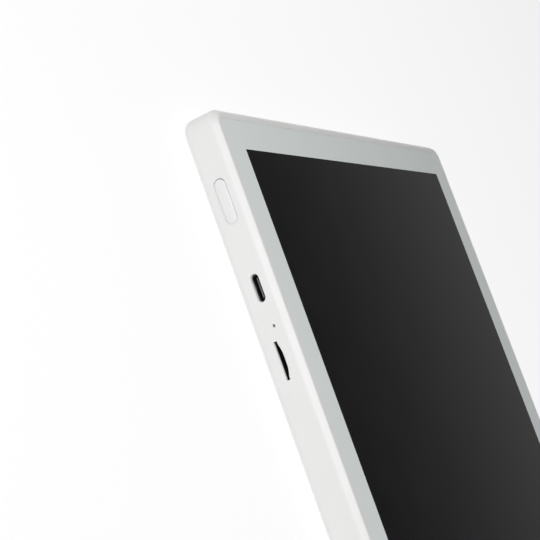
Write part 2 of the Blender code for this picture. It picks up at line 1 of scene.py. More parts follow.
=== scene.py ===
"""The looks of the e-reader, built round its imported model: fine outer pieces, materials, studio and camera.

Lengths are in metres, in the model's own frame: +X across the screen, +Y up the page, +Z out of the
screen, with the back face on the floor at z = 0. The button and the sockets are in the left edge (-X).
"""

import json
import math

import bmesh
import bpy
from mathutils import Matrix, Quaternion, Vector


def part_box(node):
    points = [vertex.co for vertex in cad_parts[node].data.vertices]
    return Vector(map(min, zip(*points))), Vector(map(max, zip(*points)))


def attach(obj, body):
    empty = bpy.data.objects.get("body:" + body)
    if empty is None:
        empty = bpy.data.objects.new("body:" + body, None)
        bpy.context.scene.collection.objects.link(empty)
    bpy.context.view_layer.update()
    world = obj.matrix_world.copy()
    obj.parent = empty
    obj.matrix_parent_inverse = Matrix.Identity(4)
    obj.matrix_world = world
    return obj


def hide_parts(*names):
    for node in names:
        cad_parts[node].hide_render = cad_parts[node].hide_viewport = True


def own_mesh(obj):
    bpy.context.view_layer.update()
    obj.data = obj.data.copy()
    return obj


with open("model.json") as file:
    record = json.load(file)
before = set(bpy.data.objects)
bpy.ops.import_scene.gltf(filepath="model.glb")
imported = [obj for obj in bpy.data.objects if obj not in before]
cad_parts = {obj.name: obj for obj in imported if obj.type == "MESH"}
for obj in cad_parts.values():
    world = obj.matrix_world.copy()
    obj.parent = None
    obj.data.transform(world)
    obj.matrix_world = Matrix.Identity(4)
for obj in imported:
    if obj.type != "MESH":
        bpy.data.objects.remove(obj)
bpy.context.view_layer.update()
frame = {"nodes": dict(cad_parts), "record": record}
MM = 0.001


def span(node, axis):
    """(lowest, highest) of a node along an axis, 0 to 2."""
    low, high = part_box(node)
    return low[axis], high[axis]


def middle(node, axis):
    return sum(span(node, axis)) / 2


# ---- Sizes: the body's from its node, and the small features' own --------------------------------
SIDE = span("rear_housing", 0)[0]
HALF_X = -SIDE
HALF_Y = span("rear_housing", 1)[1]
THICK = span("rear_housing", 2)[1]
LENS_Z = span("cover_lens", 2)
LENS_INSET = HALF_X - span("cover_lens", 0)[1]
RIM = LENS_INSET - 0.015 * MM  # the rim's inner edge, a hair outside the lens
CORNER_R, BACK_R = 5.8 * MM, 2.4 * MM  # plan corner, and the rounded edge of the back
FRONT_BEVEL, FRONT_R = 2.3 * MM, 1.2 * MM  # the 45 degree bevel, and the bends at its two ends
RIM_EDGE, LENS_EDGE, OPENING_EDGE = 0.04 * MM, 0.03 * MM, 0.12 * MM  # softened edges
WALL, BACK_WALL = 1.7 * MM, 1.5 * MM
PORT_WALL, SLOT_WALL = 1.25 * MM, 0.9 * MM  # what is left of the wall in front of the sockets
LIP_Z = (9.2 * MM, 9.9 * MM)  # where the wall steps out to the lip that holds the chassis
BORDER_X, BORDER_Y = 13.35 * MM, 13.1 * MM
WINDOW_R = 0.35 * MM

BUTTON = (middle("power_button", 1), middle("power_button", 2))
BUTTON_HOLE, BUTTON_CAP = (14.3 * MM, 3.86 * MM), (14.0 * MM, 3.7 * MM)
BUTTON_SAG = (-0.10 * MM, -0.055 * MM)  # the cap hangs low in its hole
USB = (middle("usb_shell", 1), middle("usb_shell", 2))
USB_SHELL = (8.94 * MM, 3.16 * MM)
USB_HOLE, USB_MOUTH = (8.68 * MM, 2.76 * MM), (8.34 * MM, 2.56 * MM)
USB_BLADE, USB_BASE = (6.7 * MM, 0.7 * MM), (7.6 * MM, 1.9 * MM)  # the tongue, and its thick root
MIC = (middle("mic_boot", 1), 7.1 * MM)
MIC_R = 0.5 * MM
CARD = (middle("card_socket_cover", 1), 5.73 * MM)
CARD_SLOT = (11.8 * MM, 1.2 * MM)
SCOOP_CHORD, SCOOP_RISE = 9.9 * MM, 0.74 * MM
CARD_Z = (span("card_socket_base", 2)[0], span("card_socket_cover", 2)[1])
CARD_HALF_Y = 7.0 * MM
POCKET_CLEARANCE = 0.3 * MM

CORNER_STEPS, EDGE_STEPS = 16, 10

# The floor gives off a soft light of its own, and less where the body stands on it: a painted contact shadow,
# set by place on the floor inside the body's outline, not cast by the body.
GLOW, PAINTED_SHADOW_GLOW = 0.81, 0.3
PAINTED_SHADOW_FROM, PAINTED_SHADOW_TO = 2.3 * MM, 1.8 * MM  # how far inside the body's outline the shade starts and ends


# ---- Materials -----------------------------------------------------------------------------------
class Nodes:
    """A short way to write a material's node tree."""

    def __init__(self, name):
        self.material = bpy.data.materials.new(name)
        self.material.use_nodes = True
        self.tree = self.material.node_tree
        self.shader = self.tree.nodes["Principled BSDF"]
        self.place = self.add("ShaderNodeTexCoord").outputs["Object"]

    def add(self, kind, **settings):
        node = self.tree.nodes.new(kind)
        for key, value in settings.items():
            setattr(node, key, value)
        return node

    def link(self, source, target):
        self.tree.links.new(source, target)

    def stretched(self, scale):
        """The object's coordinates, scaled by a different amount along each axis."""
        mapping = self.add("ShaderNodeMapping")
        mapping.inputs["Scale"].default_value = scale
        self.link(self.place, mapping.inputs["Vector"])
        return mapping.outputs["Vector"]

    def noise(self, size, detail=2.0, rough=0.5, vector=None):
        """Noise whose blobs are about that size across."""
        node = self.add("ShaderNodeTexNoise")
        node.inputs["Scale"].default_value = 1 / size
        node.inputs["Detail"].default_value = detail
        node.inputs["Roughness"].default_value = rough
        self.link(vector or self.place, node.inputs["Vector"])
        return node.outputs["Fac"]

    def ramp(self, source, stops):
        """Colours along a value; each stop is (place, colour)."""
        node = self.add("ShaderNodeValToRGB")
        elements = node.color_ramp.elements
        while len(elements) < len(stops):
            elements.new(0.5)
        for element, (place, colour) in zip(elements, stops):
            element.position = place
            element.color = (*colour, 1)
        self.link(source, node.inputs["Fac"])
        return node.outputs["Color"]

    def between(self, source, low, high):
        """The noise's middle range, spread over a new one."""
        node = self.add("ShaderNodeMapRange")
        node.inputs["From Min"].default_value = 0.3
        node.inputs["From Max"].default_value = 0.7
        node.inputs["To Min"].default_value = low
        node.inputs["To Max"].default_value = high
        self.link(source, node.inputs["Value"])
        return node.outputs["Result"]

    def multiply(self, a, b):
        """The product of two values."""
        node = self.add("ShaderNodeMath", operation="MULTIPLY")
        self.link(a, node.inputs[0])
        self.link(b, node.inputs[1])
        return node.outputs[0]

    def bump(self, height, depth):
        """Raises the surface by up to depth."""
        node = self.add("ShaderNodeBump")
        node.inputs["Strength"].default_value = 1.0
        node.inputs["Distance"].default_value = depth
        self.link(height, node.inputs["Height"])
        return node.outputs["Normal"]

    def set(self, **inputs):
        """Sets the shader's inputs: plain values stay on the socket, and node outputs are linked."""
        for key, value in inputs.items():
            socket = self.shader.inputs[key.replace("_", " ").title().replace("Ior", "IOR")]
            if isinstance(value, bpy.types.NodeSocket):
                self.link(value, socket)
            else:
                socket.default_value = value
        return self.material


def shade(colour, factor):
    """The colour, made lighter or darker."""
    return tuple(min(1.0, c * factor) for c in colour)


def moulded(name, colour, roughness, grain=0.22 * MM, depth=0.006 * MM, mottle=0.012, **extra):
    """Moulded plastic: an even colour that drifts slightly, under a spark-eroded grain."""
    n = Nodes(name)
    drift = n.noise(22 * MM, detail=3)
    tone = n.ramp(drift, ((0.3, shade(colour, 1 - mottle)), (0.7, shade(colour, 1 + mottle))))
    gloss = n.between(n.noise(6 * MM), roughness - 0.03, roughness + 0.03)
    skin = n.bump(n.noise(grain, detail=3, rough=0.6), depth)
    return n.set(base_color=tone, roughness=gloss, normal=skin, **extra)


def printed(name, colour, roughness, **extra):
    """Ink under a matt anti-glare surface: a fine even tooth, with a trace of cloud in the ink."""
    n = Nodes(name)
    cloud = n.ramp(n.noise(30 * MM, detail=2), ((0.3, shade(colour, 0.99)), (0.7, shade(colour, 1.01))))
    tooth = n.bump(n.noise(0.09 * MM, detail=2), 0.0012 * MM)
    gloss = n.between(n.noise(14 * MM), roughness - 0.02, roughness + 0.02)
    return n.set(base_color=cloud, roughness=gloss, normal=tooth, **extra)


def picture(name):
    """The e-paper's picture area, all black: ink capsules of slightly different depth under the cover."""
    n = Nodes(name)
    cells = n.add("ShaderNodeTexVoronoi")
    cells.inputs["Scale"].default_value = 1 / (0.11 * MM)
    n.link(n.place, cells.inputs["Vector"])
    pale, dark = (0.0050, 0.0050, 0.0058), (0.0034, 0.0034, 0.0042)
    ink = n.ramp(cells.outputs["Distance"], ((0.0, pale), (0.8, dark)))
    tooth = n.bump(n.noise(0.09 * MM, detail=2), 0.0012 * MM)
    gloss = n.between(n.noise(18 * MM), 0.19, 0.22)
    return n.set(base_color=ink, roughness=gloss, normal=tooth, specular_ior_level=0.35)


def stamped(name, colour, roughness):
    """Sheet metal: fine lines left by the rolling, and duller patches where it has been handled."""
    n = Nodes(name)
    lines = n.noise(0.4 * MM, detail=4, rough=0.7, vector=n.stretched((1, 12, 12)))
    patches = n.noise(5 * MM, detail=3)
    tone = n.ramp(patches, ((0.3, shade(colour, 0.88)), (0.7, shade(colour, 1.05))))
    gloss = n.between(n.multiply(lines, patches), roughness + 0.12, roughness - 0.08)
    return n.set(base_color=tone, metallic=1.0, roughness=gloss, normal=n.bump(lines, 0.004 * MM))


def cast(name, colour, roughness):
    """Die-cast magnesium: a pebbled skin with flow marks."""
    n = Nodes(name)
    flow = n.noise(14 * MM, detail=4, rough=0.65)
    pebble = n.noise(0.35 * MM, detail=3, rough=0.6)
    tone = n.ramp(flow, ((0.3, shade(colour, 0.85)), (0.7, shade(colour, 1.1))))
    gloss = n.between(flow, roughness - 0.06, roughness + 0.08)
    return n.set(base_color=tone, metallic=1.0, roughness=gloss, normal=n.bump(pebble, 0.03 * MM))


def traced(name, colour, trace, pitch, roughness):
    """A circuit: raised tracks under a coloured mask, broken into runs, with small bare pads."""
    n = Nodes(name)
    tracks = n.add("ShaderNodeTexBrick", offset=0.37)
    tracks.inputs["Color1"].default_value = (*colour, 1)
    tracks.inputs["Color2"].default_value = (*shade(colour, 1.25), 1)
    tracks.inputs["Mortar"].default_value = (*trace, 1)
    tracks.inputs["Scale"].default_value = 1 / pitch
    tracks.inputs["Mortar Size"].default_value = 0.06
    tracks.inputs["Brick Width"].default_value = 4.5
    tracks.inputs["Row Height"].default_value = 0.6
    n.link(n.place, tracks.inputs["Vector"])
    gloss = n.between(n.noise(3 * MM), roughness - 0.05, roughness + 0.08)
    relief = n.bump(tracks.outputs["Fac"], 0.03 * MM)
    return n.set(base_color=tracks.outputs["Color"], roughness=gloss, normal=relief)


def foil(name, colour, roughness):
    """A battery pouch's laminated foil, drawn tight with slight creases, its colour darker in the crease
    hollows and lighter on the ridges as painted shade and painted sheen.
    """
    n = Nodes(name)
    crease = n.noise(7 * MM, detail=5, rough=0.55, vector=n.stretched((1, 0.4, 1)))
    # Painted shade and sheen: the colour follows the crease relief, darker low and lighter high.
    tone = n.ramp(crease, ((0.35, shade(colour, 0.9)), (0.7, shade(colour, 1.2))))
    return n.set(base_color=tone, roughness=n.between(crease, roughness - 0.1, roughness + 0.1),
                 normal=n.bump(crease, 0.15 * MM))


def foam(name, colour, cell):
    """Foam tape or soft rubber: open cells in a dull skin, the colour darker down in each cell as painted
    shade.
    """
    n = Nodes(name)
    cells = n.add("ShaderNodeTexVoronoi")
    cells.inputs["Scale"].default_value = 1 / cell
    n.link(n.place, cells.inputs["Vector"])
    # Painted shade: darker in each cell's hollow, lighter on the walls between.
    tone = n.ramp(cells.outputs["Distance"], ((0.0, shade(colour, 0.6)), (0.6, shade(colour, 1.3))))
    return n.set(base_color=tone, roughness=0.9, normal=n.bump(cells.outputs["Distance"], cell / 4))


def clear(name, colour, roughness):
    """A clear moulded sheet, with the faint haze of its light-spreading dots."""
    n = Nodes(name)
    dots = n.add("ShaderNodeTexVoronoi")
    dots.inputs["Scale"].default_value = 1 / (0.8 * MM)
    n.link(n.place, dots.inputs["Vector"])
    tone = n.ramp(dots.outputs["Distance"], ((0.1, shade(colour, 0.92)), (0.4, colour)))
    return n.set(base_color=tone, roughness=n.between(n.noise(9 * MM), roughness, roughness + 0.1),
                 transmission_weight=0.85, normal=n.bump(dots.outputs["Distance"], 0.004 * MM))


BORDER_INK = (0.825, 0.868, 0.857)
PORT_GRAIN = {"grain": 0.1 * MM, "depth": 0.002 * MM, "mottle": 0.05}
MATERIALS = {
    "housing_white": moulded("housing_white", (0.845, 0.845, 0.838), 0.42),
    "button_white": moulded("button_white", (0.85, 0.84, 0.845), 0.36, grain=0.3 * MM, depth=0.003 * MM),
    "cover_glass": printed("cover_glass", BORDER_INK, 0.34, specular_ior_level=0.35),
    "border_print": printed("border_print", BORDER_INK, 0.4),
    "display_dark": picture("display_dark"),
    "clear_film": clear("clear_film", (0.93, 0.95, 0.96), 0.08),
    "frame_magnesium": cast("frame_magnesium", (0.42, 0.43, 0.45), 0.45),
    "steel": stamped("steel", (0.62, 0.62, 0.63), 0.3),
    "port_steel": stamped("port_steel", (0.34, 0.34, 0.345), 0.36),
    "black_plastic": moulded("black_plastic", (0.022, 0.022, 0.024), 0.45, mottle=0.1),
    "port_plastic": moulded("port_plastic", (0.018, 0.018, 0.019), 0.45, **PORT_GRAIN),
    "soft_rubber": foam("soft_rubber", (0.035, 0.035, 0.035), 0.15 * MM),
    "pale_plastic": moulded("pale_plastic", (0.70, 0.70, 0.67), 0.4),
    "board_laminate": traced("board_laminate", (0.012, 0.13, 0.065), (0.05, 0.30, 0.14), 1.1 * MM, 0.35),
    "flex_film": traced("flex_film", (0.42, 0.19, 0.04), (0.72, 0.40, 0.14), 0.5 * MM, 0.3),
    "battery_foil": foil("battery_foil", (0.11, 0.11, 0.12), 0.42),
    "tape": foam("tape", (0.045, 0.045, 0.045), 0.3 * MM),
    "chip": moulded("chip", (0.03, 0.03, 0.033), 0.5, grain=0.12 * MM, depth=0.01 * MM, mottle=0.15),
}
GOLD = stamped("contact_gold", (0.80, 0.56, 0.22), 0.22)


# ---- Shape tools ---------------------------------------------------------------------------------
def rounded_rectangle(half_a, half_b, radius, steps=CORNER_STEPS):
    """Points of a rounded rectangle about the origin, anticlockwise, with that many steps round a corner."""
    smallest = 0.05 * MM
    radius = max(radius, smallest)
    points = []
    for quarter, (sa, sb) in enumerate(((1, 1), (-1, 1), (-1, -1), (1, -1))):
        for k in range(steps + 1):
            angle = (quarter + k / steps) * math.pi / 2
            points.append((sa * (half_a - radius) + radius * math.cos(angle),
                           sb * (half_b - radius) + radius * math.sin(angle)))
    return points


def body_ring(inset, z):
    """The body's plan outline, moved in by inset, at height z."""
    outline = rounded_rectangle(HALF_X - inset, HALF_Y - inset, CORNER_R - inset)
    return [(x, y, z) for x, y in outline]


def pill(length, height, inset=0.0):
    """Outline (y, z) of a slot with round ends, length along Y, with a very short flat left on each end."""
    length, height = length - 2 * inset, height - 2 * inset
    flat, steps = 0.005 * MM, 14
    return rounded_rectangle(length / 2, height / 2, height / 2 - flat, steps)


def disc(radius):
    """Outline of a round hole."""
    sides = 32
    turns = [2 * math.pi * k / sides for k in range(sides)]
    return [(radius * math.cos(t), radius * math.sin(t)) for t in turns]


def at_x(x, outline, centre):
    """An outline of (y, z) points set round a centre (y, z), at x."""
    return [(x, centre[0] + y, centre[1] + z) for y, z in outline]


def arc(centre, radius, start, end, steps):
    """Points of an arc, angles in degrees, with the first coordinate measured inwards."""
    points = []
    for k in range(steps + 1):
        angle = math.radians(start + (end - start) * k / steps)
        points.append((centre[0] - radius * math.cos(angle), centre[1] + radius * math.sin(angle)))
    return points


def add_loft(bm, rings):
    """Adds the surface through rings of equally many points, and returns its two end faces."""
    rows = [[bm.verts.new(p) for p in ring] for ring in rings]
    count = len(rows[0])
    for a, b in zip(rows, rows[1:]):
        for i in range(count):
            j = (i + 1) % count
            bm.faces.new((a[i], a[j], b[j], b[i]))
    return [bm.faces.new(rows[0][::-1]), bm.faces.new(rows[-1])]


def add_box(bm, low, high):
    """Adds a box between two corners."""
    corners = [(low[0], low[1]), (high[0], low[1]), (high[0], high[1]), (low[0], high[1])]
    add_loft(bm, [[(x, y, z) for x, y in corners] for z in (low[2], high[2])])


def raw(name, bm):
    """An object from a bmesh, with its faces turned outwards."""
    bmesh.ops.recalc_face_normals(bm, faces=bm.faces)
    mesh = bpy.data.meshes.new(name)
    bm.to_mesh(mesh)
    bm.free()
    obj = bpy.data.objects.new(name, mesh)
    bpy.context.scene.collection.objects.link(obj)
    return obj


def lofted(name, rings):
    """An object whose surface runs through the rings and is closed at both ends."""
    bm = bmesh.new()
    add_loft(bm, rings)
    return raw(name, bm)


def combined(target, others, operation):
    """Cuts the others from the target, or joins them to it, for good."""
    for other in others:
        modifier = target.modifiers.new(other.name, "BOOLEAN")
        modifier.operation = operation
        modifier.object = other
    graph = bpy.context.evaluated_depsgraph_get()
    made = bpy.data.meshes.new_from_object(target.evaluated_get(graph))
    target.modifiers.clear()
    target.data = made
    for other in others:
        bpy.data.objects.remove(other)


def piece(obj, body, slot, replaces=(), material=None):
    """Finishes a piece: material, soft shading with flat faces kept flat, and the body it rides on."""
    if not obj.data.materials:
        obj.data.materials.append(material or MATERIALS[slot])
    obj.data.shade_smooth()
    obj.data.set_sharp_from_angle(angle=math.radians(32))
    weighted = obj.modifiers.new("weighted_normals", "WEIGHTED_NORMAL")
    weighted.keep_sharp = True
    if replaces:
        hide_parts(*replaces)
    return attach(obj, body)


# ---- Housing -------------------------------------------------------------------------------------
def card_slot_outline():
    """(y, z) of the card slot: a thin rectangle with a shallow finger scoop towards the screen."""
    half_y, half_z = CARD_SLOT[0] / 2, CARD_SLOT[1] / 2
    half_chord, steps = SCOOP_CHORD / 2, 28
    radius = (half_chord**2 + SCOOP_RISE**2) / (2 * SCOOP_RISE)
    sweep = math.asin(half_chord / radius)
    points = [(-half_y, half_z), (-half_y, -half_z), (half_y, -half_z), (half_y, half_z)]
    for k in range(steps + 1):
        angle = sweep * (1 - 2 * k / steps)
        points.append((radius * math.sin(angle), half_z + SCOOP_RISE - radius * (1 - math.cos(angle))))
    return points


def soften_openings(obj):
    """Rounds the edges where openings break through the flat of the left side."""
    bm = bmesh.new()
    bm.from_mesh(obj.data)
    edges = []
    for edge in bm.edges:
        on_side = all(abs(v.co.x - SIDE) < 0.001 * MM for v in edge.verts)
        if not on_side or len(edge.link_faces) != 2:
            continue
        # One face lies in the side, and the other is a wall of the opening.
        slants = sorted(abs(face.normal.x) for face in edge.link_faces)
        if slants[0] < 0.5 and slants[1] > 0.99:
            edges.append(edge)
    bmesh.ops.bevel(bm, geom=edges, offset=OPENING_EDGE, offset_type="OFFSET", segments=3, profile=0.5,
                    affect="EDGES", clamp_overlap=True)
    bm.to_mesh(obj.data)
    bm.free()


def housing_cutters():
    """What is cut from the shell: the left side's openings, and the pockets that thin it at two of them."""
    back_x = SIDE + WALL + 0.5 * MM
    card_middle = (CARD[0], sum(CARD_Z) / 2)
    card_half_y = CARD_HALF_Y + POCKET_CLEARANCE
    card_half_z = (CARD_Z[1] - CARD_Z[0]) / 2 + POCKET_CLEARANCE
    card_pocket = rounded_rectangle(card_half_y, card_half_z, 0.2 * MM, 3)
    cuts = (
        ("button_opening", SIDE - 1 * MM, pill(*BUTTON_HOLE), BUTTON),
        ("usb_opening", SIDE - 1 * MM, pill(*USB_HOLE), USB),
        ("mic_opening", SIDE - 1 * MM, disc(MIC_R), MIC),
        ("card_opening", SIDE - 1 * MM, card_slot_outline(), CARD),
        ("usb_pocket", SIDE + PORT_WALL, pill(*USB_SHELL, inset=-POCKET_CLEARANCE), USB),
        ("card_pocket", SIDE + SLOT_WALL, card_pocket, card_middle),
    )
    return [
        lofted(name, [at_x(x, outline, place) for x in (front_x, back_x)])
        for name, front_x, outline, place in cuts
    ]


def housing():
    """The one-piece shell: its profile, from the back's edge round to the inner wall, follows the outline."""
    profile = arc((BACK_R, BACK_R), BACK_R, -90, 0, EDGE_STEPS)
    profile += arc((FRONT_R, THICK - FRONT_BEVEL), FRONT_R, 0, 45, EDGE_STEPS // 2)
    profile += arc((FRONT_BEVEL, THICK - FRONT_R), FRONT_R, 45, 90, EDGE_STEPS // 2)
    profile += [
        (RIM - RIM_EDGE, THICK),
        (RIM - 0.3 * RIM_EDGE, THICK - 0.3 * RIM_EDGE),
        (RIM, THICK - RIM_EDGE),
        (RIM, LIP_Z[1]),
        (WALL, LIP_Z[0]),
        (WALL, BACK_WALL),
    ]
    shell = lofted("housing_shell", [body_ring(inset, z) for inset, z in profile])
    combined(shell, housing_cutters(), "DIFFERENCE")
    soften_openings(shell)
    piece(shell, "body", "housing_white", ["rear_housing"])


def power_symbol():
    """A small moulded power sign beside the button: a broken ring and a bar, hardly proud of the side."""
    ring_r, line, proud, sunk = 0.62 * MM, 0.13 * MM, 0.03 * MM, 0.1 * MM
    to_button, bar = 2.4 * MM, (0.15 * MM, 0.95 * MM)
    place = Vector((SIDE, BUTTON[0] + BUTTON_HOLE[0] / 2 + to_button, BUTTON[1]))
    gap, steps = math.radians(38), 30
    out, into = Vector((-proud, 0, 0)), Vector((sunk, 0, 0))
    rings = []
    for k in range(steps + 1):
        angle = gap + (2 * math.pi - 2 * gap) * k / steps
        along = Vector((0, math.cos(angle), math.sin(angle)))
        inner, outer = place + along * (ring_r - line / 2), place + along * (ring_r + line / 2)
        rings.append([inner + into, inner + out, outer + out, outer + into])
    bm = bmesh.new()
    add_loft(bm, rings)
    add_box(bm, place + Vector((-proud, bar[0], -line / 2)), place + Vector((sunk, bar[1], line / 2)))
    piece(raw("power_symbol", bm), "body", "housing_white")


# ---- Button --------------------------------------------------------------------------------------
def button():
    """The pill-shaped cap, crowned and softly rounded at its edge, with its wings and post behind."""
    low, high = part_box("power_button")
    shoulder, depth, crown = 0.62 * MM, 0.42 * MM, 0.07 * MM
    crown_steps, shoulder_steps, innermost = 7, 8, 0.12
    place = (BUTTON[0] + BUTTON_SAG[0], BUTTON[1] + BUTTON_SAG[1])
    half_height = BUTTON_CAP[1] / 2
    rings = []
    for k in range(crown_steps):
        share = innermost + (1 - innermost) * k / crown_steps
        inset = half_height - share * (half_height - shoulder)
        rings.append(at_x(low.x + crown * share**2, pill(*BUTTON_CAP, inset=inset), place))
    for k in range(shoulder_steps + 1):
        angle = math.pi / 2 * k / shoulder_steps
        inset = shoulder * (1 - math.sin(angle))
        x = low.x + crown + depth * (1 - math.cos(angle))
        rings.append(at_x(x, pill(*BUTTON_CAP, inset=inset), place))
    inner_x = SIDE + WALL + 0.2 * MM
    rings.append(at_x(inner_x + 0.5 * MM, pill(*BUTTON_CAP), place))
    cap = lofted("button_cap", rings)
    wing = rounded_rectangle(BUTTON_CAP[0] / 2 + 1.4 * MM, half_height - 0.3 * MM, 0.3 * MM, 4)
    wings = lofted("button_wings", [at_x(x, wing, place) for x in (inner_x, inner_x + 0.6 * MM)])
    post = rounded_rectangle(1.4 * MM, 0.9 * MM, 0.2 * MM, 4)
    posts = lofted("button_post", [at_x(x, post, place) for x in (inner_x + 0.3 * MM, high.x)])
    combined(cap, [wings, posts], "UNION")
    piece(cap, "button", "button_white", ["power_button"])


# ---- Cover ---------------------------------------------------------------------------------------
def cover():
    """The bonded cover: pale ink round its border, and the black picture seen through its middle."""
    low, high = LENS_Z
    rings = [body_ring(LENS_INSET, low)]
    for inset, z in arc((LENS_INSET + LENS_EDGE, high - LENS_EDGE), LENS_EDGE, 0, 90, 4):
        rings.append(body_ring(inset, z))
    window = rounded_rectangle(HALF_X - BORDER_X, HALF_Y - BORDER_Y, WINDOW_R)
    rings.append([(x, y, high) for x, y in window])
    bm = bmesh.new()
    picture_face = add_loft(bm, rings)[1]
    picture_face.material_index = 1
    obj = raw("cover_sheet", bm)
    obj.data.materials.append(MATERIALS["cover_glass"])
    obj.data.materials.append(MATERIALS["display_dark"])
    piece(obj, "body", "cover_glass", ["cover_lens", "mask_film"])


# ---- Sockets -------------------------------------------------------------------------------------
def usb_shell():
    """The receptacle's drawn shell: blind at the back, with a rolled mouth."""
    (front, _, _), (back, _, _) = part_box("usb_shell")
    sheet = (USB_SHELL[1] - USB_MOUTH[1]) / 2
    lip, lip_steps, lip_end = 0.1 * MM, 6, 0.35 * MM
    back_r, back_steps = 0.2 * MM, 4
    inside = pill(*USB_MOUTH)
    rings = [at_x(back - 2 * sheet, inside, USB), at_x(front + lip_end, inside, USB)]
    for k in range(lip_steps + 1):
        angle = math.pi * k / lip_steps
        inset = sheet / 2 * (1 + math.cos(angle))
        rings.append(at_x(front + lip * (1 - math.sin(angle)), pill(*USB_SHELL, inset=inset), USB))
    for k in range(1, back_steps + 1):
        angle = math.pi / 2 * k / back_steps
        inset = back_r * (1 - math.cos(angle))
        rings.append(at_x(back - back_r * (1 - math.sin(angle)), pill(*USB_SHELL, inset=inset), USB))
    piece(lofted("usb_socket_shell", rings), "body", "port_steel", ["usb_shell"])


def usb_tongue():
    """The tongue, the edge of the steel plate in its middle, and the contacts on both its faces."""
    tip, root = span("usb_tongue", 0)
    step_x, step_r = tip + 4.5 * MM, 0.1 * MM
    tip_r, tip_steps, plate_proud = 0.18 * MM, 4, 0.03 * MM
    rings = []
    for k in range(tip_steps + 1):
        angle = math.pi / 2 * k / tip_steps
        inset = tip_r * (1 - math.sin(angle))
        x = tip + plate_proud + tip_r * (1 - math.cos(angle))
        rings.append(at_x(x, pill(*USB_BLADE, inset=inset), USB))
    rings.append(at_x(step_x - step_r, pill(*USB_BLADE), USB))
    rings.append(at_x(step_x, pill(*USB_BASE, inset=step_r), USB))
    rings.append(at_x(step_x + step_r, pill(*USB_BASE), USB))
    rings.append(at_x(root, pill(*USB_BASE), USB))
    piece(lofted("usb_contact_tongue", rings), "body", "port_plastic", ["usb_tongue"])

    plate, plate_depth = rounded_rectangle(3.0 * MM, 0.10 * MM, 0.05 * MM, 3), 0.5 * MM
    plate_rings = [at_x(x, plate, USB) for x in (tip, tip + plate_depth)]
    piece(lofted("usb_mid_plate", plate_rings), "body", "port_steel")

    count, pitch, half_width = 12, 0.5 * MM, 0.11 * MM
    inner, outer = 0.30 * MM, 0.365 * MM
    power_pins, power_start, signal_start = (0, 3, 8, 11), 0.55 * MM, 0.75 * MM
    end = step_x - 0.3 * MM
    bm = bmesh.new()
    for face in (-1, 1):
        for k in range(count):
            y = USB[0] + (k - (count - 1) / 2) * pitch
            near, far = sorted((USB[1] + face * inner, USB[1] + face * outer))
            start = tip + (power_start if k in power_pins else signal_start)
            add_box(bm, (start, y - half_width, near), (end, y + half_width, far))
    piece(raw("usb_contacts", bm), "body", "steel", material=GOLD)


def mic_mesh():
    """The woven screen that keeps dust out of the microphone, just inside the pinhole's boot."""
    x = span("mic_boot", 0)[0] + 0.3 * MM
    half, wire, count = 0.55 * MM, 0.03 * MM, 9
    spread, weave, steps = 0.85, 0.8, 2 * count
    bm = bmesh.new()
    for k in range(count):
        offset = half * spread * (2 * k / (count - 1) - 1)
        reach = math.sqrt(half**2 - offset**2)
        for along_y in (True, False):
            side = 1 if along_y else -1
            rings = []
            for s in range(steps + 1):
                t = reach * (2 * s / steps - 1)
                lift = wire * weave * math.cos(math.pi * (t / half * (count - 1) / 2 + k)) * side
                y, z = (t, offset) if along_y else (offset, t)
                centre = Vector((x + lift, MIC[0] + y, MIC[1] + z))
                a, b = Vector((wire, 0, 0)), Vector((0, 0, wire)) if along_y else Vector((0, wire, 0))
                rings.append([centre + a, centre + b, centre - a, centre - b])
            add_loft(bm, rings)
    piece(raw("mic_mesh", bm), "body", "steel")


def card_contacts():
    """The card socket's row of sprung contacts, each bowed up from the base."""
    (x0, _, _), (_, _, top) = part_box("card_socket_base")
    count, pitch, half_width, thick = 8, 1.1 * MM, 0.2 * MM, 0.05 * MM
    length, rise, steps = 3.6 * MM, 0.45 * MM, 12
    from_front, off_centre, lift = 3.5 * MM, 0.9 * MM, 0.02 * MM
    bm = bmesh.new()
    for k in range(count):
        y = CARD[0] + (k - (count - 1) / 2) * pitch - off_centre
        low_y, high_y = y - half_width, y + half_width
        rings = []
        for s in range(steps + 1):
            share = s / steps
            x = x0 + from_front + length * share
            z = top + lift + rise * math.sin(math.pi * share) ** 2
            rings.append([(x, low_y, z), (x, high_y, z), (x, high_y, z + thick), (x, low_y, z + thick)])
        add_loft(bm, rings)
    piece(raw("card_contacts", bm), "body", "steel", material=GOLD)


def card_spring():
    """The slider's return spring, closed at both ends, which shortens as a card pushes the slider in."""
    (x0, y0, z0), (x1, y1, z1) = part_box("card_spring")
    wire_r, wire_sides, turns, dead_turns, per_turn = 0.08 * MM, 8, 9, 0.9, 28
    around = [2 * math.pi * s / wire_sides for s in range(wire_sides)]
    along = Vector((1, 0, 0))
    coil_r = (z1 - z0) / 2 - wire_r
    start, length = x0 + wire_r, x1 - x0 - 2 * wire_r
    rings, steps = [], turns * per_turn
    for k in range(steps + 1):
        turn = turns * k / steps
        # The first and last turns lie almost flat, and those between share the rest of the length.
        eased = min(max((turn - dead_turns) / (turns - 2 * dead_turns), 0), 1)
        ends = 2 * wire_r * (min(turn, dead_turns) + max(turn - turns + dead_turns, 0)) / dead_turns
        x = start + ends + eased * (length - 4 * wire_r)
        angle = 2 * math.pi * turn
        out = Vector((0, math.cos(angle), math.sin(angle)))
        centre = Vector((x, (y0 + y1) / 2, (z0 + z1) / 2)) + out * coil_r
        rings.append([centre + wire_r * (math.cos(t) * out + math.sin(t) * along) for t in around])
    spring = piece(lofted("slider_spring", rings), "body", "steel", ["card_spring"])
    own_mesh(spring)


# ---- Everything carried over from the model ------------------------------------------------------
def dress_nodes():
    """Gives each carried-over node the material of its slot."""
    for row in frame["record"]["subparts"]:
        obj = frame["nodes"][row["node"]]
        obj.data.materials.clear()
        obj.data.materials.append(MATERIALS[row["material_slot"]])


